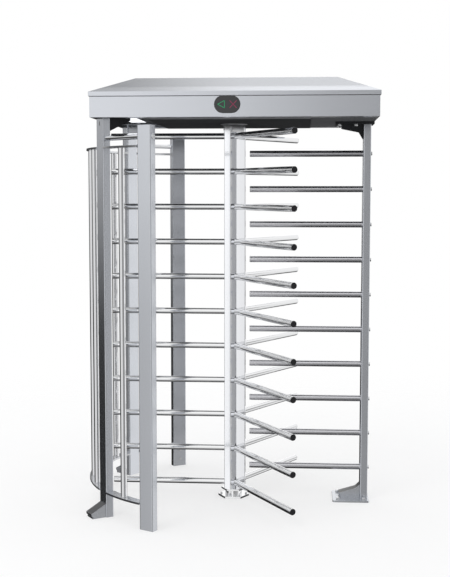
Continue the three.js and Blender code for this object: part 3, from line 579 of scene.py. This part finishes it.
# Guard tubes and tie tubes: round tubes with sawn open ends
def open_tube(name, radius, start, end, facets, node):
    start, end = Vector(start), Vector(end)
    tube = rod(name, radius, start, end, facets)
    for outward in (end - start, start - end):
        hollow_end(tube, outward, TUBE_WALL, TUBE_BORE)
    round_edges(tube, SAWN_EDGE, segments=2, angle=60)
    smooth(tube)
    finish(tube, "frame", guard_chrome, (node,))


for number in range(1, GUARD_TUBE_COUNT + 1):
    low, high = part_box(f"guard_tube_{number}")
    middle = (low + high) / 2
    open_tube(
        f"guard_upright_{number}",
        ARM_RADIUS,
        (middle.x, middle.y, low.z),
        (middle.x, middle.y, high.z),
        TUBE_FACETS,
        f"guard_tube_{number}",
    )

TIE_HEIGHT = (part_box("tie_tube_front")[0].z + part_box("tie_tube_front")[1].z) / 2
TIE_PLACE = GUARD_POST_WIDTH / 2 + 0.0005
TIE_OVERLAP = 0.002
for side, sign in (("rear", 1), ("front", -1)):
    ends = []
    for angle, across in ((END_POST_ANGLES["rear"], TIE_PLACE), (POST_ANGLES["rear"], -TIE_PLACE)):
        point = turn(angle) @ Vector((GUARD_RADIUS, across, TIE_HEIGHT))
        ends.append(Vector((point.x, sign * point.y, point.z)))
    overlap = (ends[1] - ends[0]).normalized() * TIE_OVERLAP
    open_tube(
        f"guard_tie_{side}", TIE_RADIUS, ends[0] - overlap, ends[1] + overlap, SMALL_FACETS, f"tie_tube_{side}"
    )


# Folded, cut and machined pieces: the solid's own form, merged, with its edges eased
def eased(node, name, material, slot, width, body="frame"):
    choose(frame["nodes"][node])
    bpy.ops.object.duplicate(linked=False)
    piece = rename(bpy.context.object, name)
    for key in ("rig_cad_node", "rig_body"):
        if key in piece:
            del piece[key]
    world = piece.matrix_world.copy()
    piece.parent = None
    piece.matrix_world = world
    edit(piece, "VERT")
    bpy.ops.mesh.select_all(action="SELECT")
    bpy.ops.mesh.remove_doubles(threshold=0.00002)
    bpy.ops.mesh.customdata_custom_splitnormals_clear()
    bpy.ops.mesh.dissolve_limited(angle_limit=math.radians(0.3))
    done()
    round_edges(piece, width, angle=32)
    smooth(piece, 30)
    return finish(piece, body, material, (node,))


def paint_shading_on_faces(piece, material, test):
    """Gives the faces that pass the test a second material, which paints shading on them."""
    piece.data.materials.append(material)
    edit(piece)
    pick_faces(test)
    piece.active_material_index = len(piece.data.materials) - 1
    bpy.ops.object.material_slot_assign()
    done()


SLOPE_TOLERANCE = 0.02


def paint_shade_on_slopes(piece, material, *rises):
    """Paints a darker shade on the faces whose normal rises by one of the given amounts."""
    paint_shading_on_faces(
        piece,
        material,
        lambda centre, normal: any(abs(normal.z - rise) < SLOPE_TOLERANCE for rise in rises),
    )


eased("lid", "canopy_lid", canopy_steel, "canopy_steel", LID_EDGE)
eased("front_cover", "canopy_front", canopy_steel, "canopy_steel", SHEET_EDGE)
eased("rear_cover", "canopy_rear", canopy_steel, "canopy_steel", SHEET_EDGE)
# Painted shade: the end covers' faces that look down or inward, under the canopy, are a dark grey
for side, outer in (("comb", 1), ("guard", -1)):
    cover = eased(f"end_cover_{side}_side", f"canopy_end_{side}_side", canopy_steel, "canopy_steel", SHEET_EDGE)
    paint_shading_on_faces(cover, deck_painted_shade, lambda centre, normal: normal.z < -FACING or normal.x * outer < -FACING)
TRAY_LIP = 0.002
tray = eased("canopy_tray", "canopy_tray_sheet", tray_coat, "tray_paint", MACHINED_EDGE)
tray_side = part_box("canopy_tray")[1] - Vector((TRAY_LIP, TRAY_LIP, 0))
# Painted light: the tray's outer walls are a lighter grey than its dark underside, for the light that reaches them
paint_shading_on_faces(
    tray,
    tray_wall_painted_light,
    lambda centre, normal: abs(normal.z) < FACING and (abs(centre.y) > tray_side.y or abs(centre.x) > tray_side.x),
)
# The feet's sloped faces, by the rise of their normals, get a darker steel: painted dark reflection
COMB_SLOPES = (0.96, 0.72)
GUARD_SLOPE = 0.88
comb_foot = eased("comb_foot_bracket", "comb_foot", satin_plate, "satin_steel", PLATE_EDGE)
paint_shade_on_slopes(comb_foot, comb_slope_shade, *COMB_SLOPES)
eased("comb_head_bracket", "comb_head", black_coat, "black_paint", PLATE_EDGE)
for side, head_finish in (("front", (black_coat, "black_paint")), ("rear", (satin_plate, "satin_steel"))):
    guard_foot = eased(f"guard_foot_bracket_{side}", f"guard_foot_{side}", satin_plate, "satin_steel", PLATE_EDGE)
    paint_shade_on_slopes(guard_foot, guard_slope_shade, GUARD_SLOPE)
    eased(f"guard_head_bracket_{side}", f"guard_head_{side}", *head_finish, PLATE_EDGE)
    eased(f"solenoid_{side}", f"lock_solenoid_{side}", black_coat, "black_paint", SOLENOID_EDGE)
    eased(
        f"lock_bolt_{side}", f"lock_bolt_bar_{side}", bolt_zinc, "polished_steel", FINE_EDGE, f"lock_bolt_{side}"
    )
    eased(f"inner_foot_{side}", f"end_post_stub_{side}", drive_steel, "drive_steel", MACHINED_EDGE)
# Painted dark reflection: the rings' outer edges are dark, all but those of the two upper end bands
RING_OUTWARD = 0.9
for bay in ("front", "middle", "rear"):
    for level in ("lower", "upper"):
        ring = eased(f"{level}_ring_{bay}", f"guard_{level}_ring_{bay}", ring_steel, "satin_steel", SHEET_EDGE)
        if bay == "middle" or level == "lower":
            paint_shading_on_faces(
                ring,
                edge_painted_shade,
                lambda centre, normal: abs(normal.z) < FACING
                and normal.dot(centre) > RING_OUTWARD * centre.xy.length,
            )
# Painted shade: the plates' rims are dark where they look to the left and right
PLATE_RIM = 0.05
RIM_LEVEL, RIM_SIDEWAYS = 0.3, 0.6
HEAD_EAR_RADIUS = 0.035
pivot = eased("floor_pivot", "pivot_plate", hub_steel, "polished_steel", SHEET_EDGE)
foot_flange = eased("rotor_foot_flange", "rotor_foot", hub_steel, "polished_steel", SHEET_EDGE, "rotor")
for plate in (pivot, foot_flange):
    paint_shading_on_faces(
        plate,
        edge_painted_shade,
        lambda centre, normal: abs(normal.z) < RIM_LEVEL
        and abs(normal.x) > RIM_SIDEWAYS
        and centre.xy.length > PLATE_RIM,
    )
head_shaft = eased("rotor_shaft", "rotor_head_shaft", hub_steel, "polished_steel", SHEET_EDGE, "rotor")
# Painted shade: the head plate's faces above the columns, beyond the ears' radius, are dark
paint_shading_on_faces(
    head_shaft,
    edge_painted_shade,
    lambda centre, normal: centre.z > COLUMN_HEAD and centre.xy.length > HEAD_EAR_RADIUS,
)
eased("drive_wheel", "six_stop_wheel", drive_steel, "drive_steel", FINE_EDGE, "rotor")
eased("head_bearing", "head_bearing_housing", drive_steel, "drive_steel", MACHINED_EDGE)
eased("index_lever", "index_lever_link", bolt_zinc, "drive_steel", MACHINED_EDGE, "index_lever")
eased("lid_lock", "lid_lock_barrel", bolt_zinc, "polished_steel", FINE_EDGE, "lid_lock")

# Painted shadow: a dark strip all round the covers, just under the lid's lip, standing for the shadow line there
SHADOW_STRIP_HEIGHT = 0.0024
SHADOW_STRIP_WIDTH = 0.0019
SHADOW_STRIP_PROUD = 0.002
SHADOW_STRIP_DROP = 0.0015
SHADOW_STRIP_EDGE = 0.0004
cover_low, cover_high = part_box("end_cover_guard_side")[0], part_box("end_cover_comb_side")[1]
lid_shadow_strip = cube(
    "lid_painted_shadow_strip",
    ((cover_low.x + cover_high.x) / 2, 0, LIP_FOOT - SHADOW_STRIP_DROP),
    (cover_high.x - cover_low.x + 2 * SHADOW_STRIP_PROUD, COVER_DEPTH + 2 * SHADOW_STRIP_PROUD, SHADOW_STRIP_HEIGHT),
)
edit(lid_shadow_strip)
pick_faces(lambda centre, normal: abs(normal.z) > PARALLEL)
bpy.ops.mesh.inset(thickness=SHADOW_STRIP_WIDTH)
bpy.ops.mesh.bridge_edge_loops()
done()
round_edges(lid_shadow_strip, SHADOW_STRIP_EDGE, segments=2, angle=40)
smooth(lid_shadow_strip)
finish(lid_shadow_strip, "frame", lid_shadow_paint)

# Passage lamp: a long lit lens in a slim frame, under the deck at the guard's side
LAMP_PLACE = -0.53
LAMP_FRAME = (0.086, 0.426, 0.006)
LAMP_FRAME_DROP = 0.0032
LAMP_LENS = (0.0794, 0.4194, 0.003)
LAMP_LENS_DROP = 0.0058
LAMP_RIM = 0.003
LAMP_RECESS = 0.002
LENS_EDGE = 0.0012
lamp_frame = cube("passage_lamp_frame", (LAMP_PLACE, 0, DECK_FOOT - LAMP_FRAME_DROP), LAMP_FRAME)
edit(lamp_frame)
pick_faces(lambda centre, normal: normal.z < -PARALLEL)
bpy.ops.mesh.inset(thickness=LAMP_RIM)
push((0, 0, LAMP_RECESS))
done()
round_edges(lamp_frame, MACHINED_EDGE, segments=2, angle=40)
smooth(lamp_frame)
finish(lamp_frame, "frame", satin_plate)
lens = cube("passage_lamp_cover", (LAMP_PLACE, 0, DECK_FOOT - LAMP_LENS_DROP), LAMP_LENS)
round_edges(lens, LENS_EDGE, segments=3, angle=40)
smooth(lens)
finish(lens, "frame", passage_light)


# Signal windows: a glossy pane with a lit arrow outline and a lit cross, standing proud of the skirt
def stadium(name, length, height, front, back):
    """A round disc stretched at its middle into a stadium, upright, facing -Y."""
    deselect()
    bpy.ops.mesh.primitive_cylinder_add(
        vertices=64,
        radius=height / 2,
        depth=back - front,
        location=(0, (front + back) / 2, 0),
        rotation=(math.pi / 2, 0, 0),
    )
    piece = named(name)
    for sign in (1, -1):
        stretch(piece, sign * (length - height) / 2)
    return piece


def light_line(name, start, end, width):
    """One bar of a lit sign, a thin strip whose ends are round, just before the pane's face."""
    start, end = Vector((start[0], 0, start[1])), Vector((end[0], 0, end[1]))
    along = end - start
    strip = cube(name, (0, 0, 0), (along.length + width, LINE_THICKNESS, width))
    edit(strip, "EDGE")
    pick_edges(lambda direction: abs(direction.y) > PARALLEL)
    bpy.ops.mesh.bevel(offset=width * 0.45, segments=4, affect="EDGES")
    done()
    middle = (start + end) / 2
    strip.matrix_world = shift(middle.x, LINE_PLACE, middle.z) @ along.to_track_quat("X", "Z").to_matrix().to_4x4()
    choose(strip)
    settle()
    return strip


window_low, window_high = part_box("signal_window_front")
WINDOW_FACE = window_low.y
WINDOW_HEIGHT = (window_low.z + window_high.z) / 2
LINE_PLACE = WINDOW_FACE + 0.0001
LINE_THICKNESS = 0.0006
PANE_LENGTH, PANE_HEIGHT, PANE_DEPTH = 0.1246, 0.0826, 0.012
FLANGE_LENGTH, FLANGE_HEIGHT = 0.136, 0.094
FLANGE_FRONT, FLANGE_BACK = WINDOW_FACE + 0.0085, WINDOW_FACE + 0.0115
PANE_EDGE = 0.0016
ARROW_WIDTH = 0.0030
CROSS_WIDTH = 0.0028
pane = stadium("pane_first", PANE_LENGTH, PANE_HEIGHT, WINDOW_FACE, WINDOW_FACE + PANE_DEPTH)
round_edges(pane, PANE_EDGE, segments=3, angle=50)
flange = stadium("pane_flange_first", FLANGE_LENGTH, FLANGE_HEIGHT, FLANGE_FRONT, FLANGE_BACK)
pane = join("pane_first", [pane, flange])
smooth(pane)
arrow = [(-0.046, 0.0), (-0.013, 0.0175), (-0.013, -0.0175)]
arrow_lines = [light_line(f"arrow_{i}", arrow[i], arrow[(i + 1) % 3], ARROW_WIDTH) for i in range(3)]
cross_lines = [
    light_line("cross_a", (0.012, 0.0165), (0.044, -0.0165), CROSS_WIDTH),
    light_line("cross_b", (0.012, -0.0165), (0.044, 0.0165), CROSS_WIDTH),
]
arrow_sign = join("arrow_sign", arrow_lines)
cross_sign = join("cross_sign", cross_lines)
for side, angle in (("front", 0), ("rear", 180)):
    raised = turn(angle) @ shift(0, 0, WINDOW_HEIGHT)
    glass = copy_of(pane, f"signal_pane_{side}", raised)
    finish(glass, "frame", window_pane, (f"signal_window_{side}",))
    finish(copy_of(arrow_sign, f"signal_arrow_{side}", raised), "frame", go_light)
    finish(copy_of(cross_sign, f"signal_cross_{side}", raised), "frame", stop_light)
discard(pane, arrow_sign, cross_sign)


# Bolts: on the brackets' plates, on the end posts' inner faces and round the pivot plate
def set_bolts(name, pattern, places):
    bolts = [copy_of(pattern, f"{name}_{i}", place) for i, place in enumerate(places)]
    finish(join(name, bolts), "frame", bolt_zinc)


FOOT_BOLT_X, FOOT_BOLT_Y = (0.553, 0.687), (0.072, -0.072)
HEAD_BOLT_X, HEAD_BOLT_Y = (0.545, 0.629), (0.075, -0.075)
HEAD_PLATE_THICKNESS = 0.012
POST_BOLT_HEIGHTS = (0.043, 0.093)
PIVOT_BOLT_COUNT = 6
PIVOT_BOLT_RADIUS = 0.066
plate_bolt = hex_bolt("plate_bolt_first", across=0.017, height=0.009, washer=0.002)
facing_down = turn(180, "X")
set_bolts(
    "comb_foot_bolts", plate_bolt, [shift(x, y, PLATE_TOP) for x in FOOT_BOLT_X for y in FOOT_BOLT_Y]
)
head_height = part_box("comb_head_bracket")[1].z - HEAD_PLATE_THICKNESS
set_bolts(
    "comb_head_bolts",
    plate_bolt,
    [shift(x, y, head_height) @ facing_down for x in HEAD_BOLT_X for y in HEAD_BOLT_Y],
)
post_bolt = hex_bolt("post_bolt_first", across=0.013, height=0.005, washer=0.0012)
facing_in = turn(-90, "Y")
for side, angle in END_POST_ANGLES.items():
    set_bolts(
        f"end_post_bolts_{side}",
        post_bolt,
        [turn(angle) @ shift(GUARD_RADIUS - GUARD_POST_DEPTH / 2, 0, z) @ facing_in for z in POST_BOLT_HEIGHTS],
    )

# Caps where the tie tubes come through the end posts
CAP_RADIUS = TIE_RADIUS + 0.0005
CAP_HEIGHT = 0.0032
for side, away in (("rear", -1), ("front", 1)):
    cap = rod(f"tie_cap_{side}_first", CAP_RADIUS, (0, 0, 0), (0, 0, CAP_HEIGHT), SMALL_FACETS)
    round_edges(cap, CAP_HEIGHT / 2, segments=3, angle=40)
    smooth(cap)
    placed = (
        turn(END_POST_ANGLES[side])
        @ shift(GUARD_RADIUS, GUARD_POST_WIDTH / 2 * away, TIE_HEIGHT)
        @ turn(-90 * away, "X")
    )
    finish(copy_of(cap, f"tie_end_cap_{side}", placed), "frame", hub_steel)
    discard(cap)

# Painted shade: dark slot marks high on the posts' outer faces, flat black patches for the shade inside the slots
SLOT_HEIGHT = 1.958
SLOT_LENGTH = 0.016
SLOT_RADIUS = 0.0022
SLOT_DEPTH = 0.0006
for side, angle in POST_ANGLES.items():
    slot = rod(f"post_slot_shade_patch_{side}_first", SLOT_RADIUS, (0, 0, 0), (0, 0, SLOT_DEPTH), 24)
    stretch(slot, SLOT_LENGTH)
    smooth(slot)
    placed = turn(angle) @ shift(GUARD_RADIUS + GUARD_POST_DEPTH / 2, 0, SLOT_HEIGHT) @ facing_out
    finish(copy_of(slot, f"post_slot_shade_patch_{side}", placed), "frame", black_coat)
    discard(slot)

pivot_bolt = hex_bolt("pivot_bolt_first", across=0.011, height=0.006, washer=0.0012)
set_bolts(
    "pivot_anchor_bolts",
    pivot_bolt,
    [turn(360 / PIVOT_BOLT_COUNT * i) @ shift(PIVOT_BOLT_RADIUS, 0, PLATE_TOP) for i in range(PIVOT_BOLT_COUNT)],
)
discard(plate_bolt, post_bolt, pivot_bolt)


# Floor: matt white, lifted a little for the camera, and fading into the white surround well away from the object
FLOOR_SIZE = 60
FLOOR_LIFT = 0.56
FADE_START, FADE_END = 1.6, 4.5
WHITE = (1, 1, 1, 1)


def pale_floor():
    material, nodes, links = shader_of("pale_floor")
    shader = nodes["Principled BSDF"]
    shader.inputs["Roughness"].default_value = 0.85
    shader.inputs["Specular IOR Level"].default_value = 0.0
    coordinates = nodes.new("ShaderNodeTexCoord").outputs["Object"]
    speckle = noise(nodes, links, coordinates, even(1.2), 2.0)
    tone = ramp(nodes, links, speckle, [(0.3, even(0.95)), (0.7, even(0.96))])
    links.new(tone, shader.inputs["Base Color"])
    distance = nodes.new("ShaderNodeVectorMath")
    distance.operation = "LENGTH"
    links.new(coordinates, distance.inputs[0])
    white = nodes.new("ShaderNodeEmission")
    white.inputs["Color"].default_value = WHITE
    seen = nodes.new("ShaderNodeLightPath").outputs["Is Camera Ray"]
    clear = nodes.new("ShaderNodeBsdfTransparent")
    lift = spread(nodes, links, seen, 0.0, 1.0, 0.0, FLOOR_LIFT)
    lifted = mix_shaders(nodes, links, lift, shader.outputs[0], white.outputs[0])
    far = spread(nodes, links, distance.outputs["Value"], FADE_START, FADE_END)
    faded = mix_shaders(nodes, links, far, lifted, clear.outputs[0])
    links.new(faded, nodes["Material Output"].inputs["Surface"])
    return material


deselect()
bpy.ops.mesh.primitive_plane_add(size=FLOOR_SIZE, location=(0, 0, 0))
floor = named("studio_floor")
floor.visible_glossy = False
floor.data.materials.append(pale_floor())

# The studio that the metal mirrors: brightness by azimuth in degrees, which is nought at +X and 90 at +Y
WALLS = (
    (-180, 0.14), (-168, 0.14), (-163, 0.95), (-158.5, 1.14), (-150, 1.05), (-146, 0.78), (-109, 0.76),
    (-105, 1.09), (-99, 1.06), (-96.5, 0.86), (-93.5, 1.0), (-92.2, 1.0), (-91.2, 0.30), (-43, 0.39),
    (-38, 0.50), (-31, 0.60), (-26.5, 0.35), (-23, 0.38), (-19, 0.97), (20, 1.07), (23.2, 1.05),
    (24.4, 0.36), (27.2, 0.36), (28.2, 0.95), (80, 1.16), (95, 1.15), (99.2, 0.44), (101.4, 0.14),
    (126, 0.16), (134, 0.60), (157, 0.60), (165, 0.14),
)
CEILING = (
    (-180, 1.0), (-150, 1.0), (-104, 1.06), (-94, 1.02), (-88, 0.92), (-60, 0.88), (-30, 0.92), (0, 1.0),
    (40, 0.95), (70, 0.96), (82, 1.14), (94, 1.1), (97, 0.88), (99.5, 0.62), (102, 0.5), (108, 0.5),
    (118, 1.0), (180, 1.0),
)
GROUND = (
    (-180, 0.60), (-156.6, 0.46), (-154.6, 1.0), (51, 1.0), (60, 0.08), (126, 0.05), (158, 0.06), (168, 0.5),
    (180, 0.60),
)
# How the ground's brightness falls off, from just below the horizon (0) to straight down (1)
FALL = ((0, 1.0), (0.17, 0.98), (0.25, 0.87), (0.58, 0.60), (0.7, 0.42), (0.85, 0.14), (1.0, 0.06))
# Far below the horizon the floor is pale again, except where the arms and bars mirror it in the front view
PALE_BAND = ((0.58, 0), (0.72, 1), (0.86, 1), (0.93, 0))
PALE_LEVEL = 0.42
PALE_ASIDE = ((-120, 1), (-108, 0), (-74, 0), (-62, 1), (62, 1), (74, 0), (107, 0), (116, 1))

# Heights, as a direction's rise: the walls give way to the ceiling, the ceiling to the zenith, the walls to ground
CEILING_START, CEILING_END = 0.14, 0.5
ZENITH_START, ZENITH_LEVEL = 0.8, 0.4
HORIZON_START, HORIZON_END = 0.05, -0.12
SOFT_WHITE = (0.99, 0.993, 1, 1)


def studio():
    """White to the eye, soft panels and dark flags to the metal, and plain and even to all else."""
    world = bpy.data.worlds.new("soft_studio")
    bpy.context.scene.world = world
    world.cycles.sampling_method = "NONE"
    world.use_nodes = True
    nodes, links = world.node_tree.nodes, world.node_tree.links
    nodes.clear()
    parts = nodes.new("ShaderNodeSeparateXYZ")
    links.new(nodes.new("ShaderNodeTexCoord").outputs["Generated"], parts.inputs["Vector"])
    rise = parts.outputs["Z"]
    azimuth = calculate(nodes, links, "ARCTAN2", parts.outputs["Y"], parts.outputs["X"])
    around = spread(nodes, links, azimuth, -math.pi, math.pi)

    def levels(source, stops):
        return ramp(nodes, links, source, [(place, even(level)) for place, level in stops])

    def panels(stops):
        return levels(around, [((angle + 180) / 360, level) for angle, level in stops])

    def blend(kind, factor, first, second):
        mix = nodes.new("ShaderNodeMix")
        mix.data_type = "RGBA"
        mix.blend_type = kind
        for socket, value in (("Factor", factor), ("A", first), ("B", second)):
            if isinstance(value, (float, tuple)):
                mix.inputs[socket].default_value = value
            else:
                links.new(value, mix.inputs[socket])
        return mix.outputs["Result"]

    def background(color):
        node = nodes.new("ShaderNodeBackground")
        if isinstance(color, tuple):
            node.inputs["Color"].default_value = color
        else:
            links.new(color, node.inputs["Color"])
        return node.outputs[0]

    walls, ceiling, ground = panels(WALLS), panels(CEILING), panels(GROUND)
    upper = blend("MIX", spread(nodes, links, rise, CEILING_START, CEILING_END), walls, ceiling)
    upper = blend("MIX", spread(nodes, links, rise, ZENITH_START, 1.0), upper, (*even(ZENITH_LEVEL), 1))
    lower = blend("MULTIPLY", 1.0, upper, ground)
    picture = blend("MIX", spread(nodes, links, rise, HORIZON_START, HORIZON_END), upper, lower)
    fall = levels(spread(nodes, links, rise, HORIZON_END, -1.0), FALL)
    picture = blend("MULTIPLY", 1.0, picture, fall)
    band = levels(spread(nodes, links, rise, 0.0, -1.0), PALE_BAND)
    pale = calculate(nodes, links, "MULTIPLY", band, panels(PALE_ASIDE))
    picture = blend("MIX", pale, picture, (*even(PALE_LEVEL), 1))

    path = nodes.new("ShaderNodeLightPath").outputs
    gloss = calculate(nodes, links, "MAXIMUM", path["Is Glossy Ray"], path["Is Transmission Ray"])
    mirrored = mix_shaders(nodes, links, gloss, background(SOFT_WHITE), background(picture))
    seen = mix_shaders(nodes, links, path["Is Camera Ray"], mirrored, background(WHITE))
    links.new(seen, nodes.new("ShaderNodeOutputWorld").inputs["Surface"])


studio()

# Light: one large soft lamp, high at the front left, aimed at the object's middle
SOFT_LAMP_PLACE = (-3.2, -4.2, 5.2)
SOFT_LAMP_TARGET = (0, 0, 0.8)
deselect()
bpy.ops.object.light_add(type="AREA", location=SOFT_LAMP_PLACE)
soft_lamp = bpy.context.object
soft_lamp.name = "soft_lamp"
soft_lamp.data.shape = "DISK"
soft_lamp.data.size = 3.0
soft_lamp.data.energy = 50
soft_lamp.visible_glossy = False
soft_lamp.rotation_euler = (Vector(SOFT_LAMP_TARGET) - soft_lamp.location).to_track_quat("-Z", "Y").to_euler()

# Camera, at the photograph's viewing angle: its tilt downward and its turn to the left are in degrees
CAMERA_PLACE = (0.374, -5.839, 1.630)
CAMERA_TILT = 5.07
CAMERA_TURN = 4.12
CAMERA_LENS = 69.56
deselect()
bpy.ops.object.camera_add(
    location=CAMERA_PLACE, rotation=(math.radians(90 - CAMERA_TILT), 0, math.radians(CAMERA_TURN))
)
camera = bpy.context.object
camera.name = "front_camera"
camera.data.lens = CAMERA_LENS
camera.data.sensor_width = 36
camera.data.sensor_fit = "AUTO"
bpy.context.scene.camera = camera
bpy.context.scene.view_settings.view_transform = "Standard"
